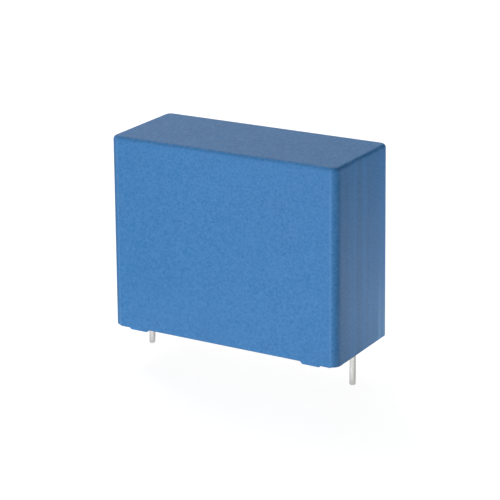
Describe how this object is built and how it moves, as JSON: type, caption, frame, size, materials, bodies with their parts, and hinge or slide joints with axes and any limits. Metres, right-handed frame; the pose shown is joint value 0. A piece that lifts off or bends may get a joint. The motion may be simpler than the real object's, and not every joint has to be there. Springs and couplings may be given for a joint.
{
  "type": "box film capacitor",
  "caption": "Blue moulded box film capacitor on stand-off feet, sealed with resin, with a pair of straight radial wire leads for a circuit board.",
  "frame": {"origin": "middle of the board face: on the plane of the four feet, midway between the two leads", "axes": "+X along the lead row and the length of the case, -Y the front, +Z towards the closed top"},
  "size_m": [0.041, 0.0174, 0.0378],
  "materials": {
    "case_plastic": "blue moulded polyester, fine spark-eroded grain",
    "sealing_resin": "cast epoxy, dark blue, satin",
    "metallised_film": "aluminised plastic film, tightly wound",
    "plain_film": "plain plastic film",
    "sprayed_metal": "sprayed zinc, rough grey",
    "tinned_wire": "tinned copper wire, dull bright"
  },
  "bodies": {
    "root": {"case": "case_plastic", "sealing_resin": "sealing_resin", "winding": "metallised_film", "cover_film": "plain_film", "end_spray_left": "sprayed_metal", "end_spray_right": "sprayed_metal", "lead_left": "tinned_wire", "lead_right": "tinned_wire"}
  },
  "joints": []
}
